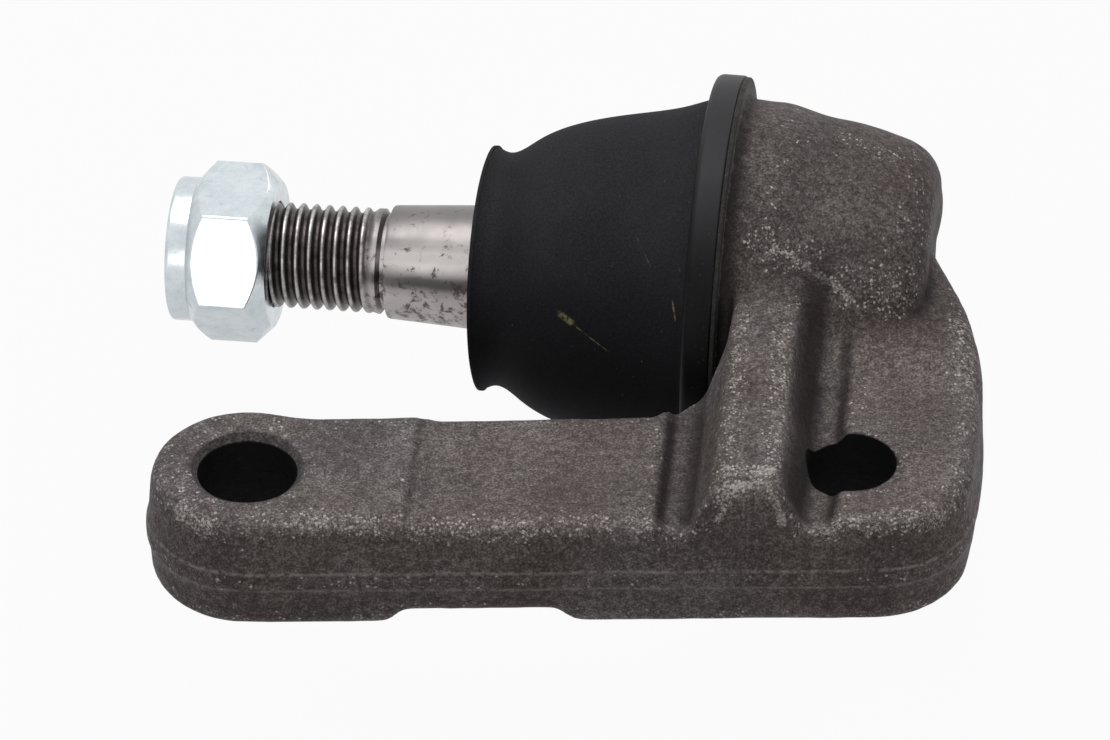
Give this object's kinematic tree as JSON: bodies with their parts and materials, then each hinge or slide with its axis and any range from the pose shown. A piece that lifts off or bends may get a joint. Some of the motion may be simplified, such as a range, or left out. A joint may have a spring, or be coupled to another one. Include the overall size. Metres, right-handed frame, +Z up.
{
  "type": "suspension ball joint",
  "caption": "Forged lower ball joint with a two-hole mounting arm, a taper stud with a self-locking nut, and a rubber dust boot held by rings.",
  "frame": {"origin": "axis of the eye bolt hole where it meets the parting plane of the forging", "axes": "+Z up along both bolt holes, +X from the eye bolt hole to the locating bolt hole, +Y towards the ball"},
  "size_m": [0.0926, 0.077, 0.047],
  "materials": {
    "forging": "phosphated forging, dark and finely mottled",
    "black_steel": "matte black",
    "boot_rubber": "matte black rubber",
    "ground_steel": "turned and ground",
    "zinc_steel": "bright zinc plate",
    "nylon": "natural nylon",
    "seat_plastic": "natural acetal",
    "spring_steel": "oiled spring steel",
    "closing_steel": "plain pressed steel",
    "wire_steel": "oiled spring wire"
  },
  "bodies": {
    "housing": {"forged_housing": "forging", "closing_ring": "closing_steel", "boot_clamp_ring": "black_steel", "preload_spring": "spring_steel"},
    "bearing": {"front_seat": "seat_plastic", "rear_seat": "seat_plastic", "dust_boot": "boot_rubber"},
    "boot_collar": {"boot_neck_ring": "wire_steel"},
    "stud": {"ball_stud": "ground_steel", "lock_nut": "zinc_steel", "nylon_insert": "nylon"}
  },
  "joints": [
    {"name": "swing_direction", "type": "hinge", "parent": "housing", "child": "bearing", "pos_m": [0.0614, 0.0407, 0], "axis": [-0.9882, 0.153, 0], "continuous": true},
    {"name": "stud_swing", "type": "hinge", "parent": "bearing", "child": "boot_collar", "pos_m": [0.0614, 0.0407, 0], "axis": [-0.1211, -0.7822, -0.6112], "range_deg": [-27.8, 22.2], "deforming": ["dust_boot"]},
    {"name": "stud_spin", "type": "hinge", "parent": "boot_collar", "child": "stud", "pos_m": [0.0614, 0.0407, 0], "axis": [-0.9825, 0.1821, -0.0384], "continuous": true}
  ]
}
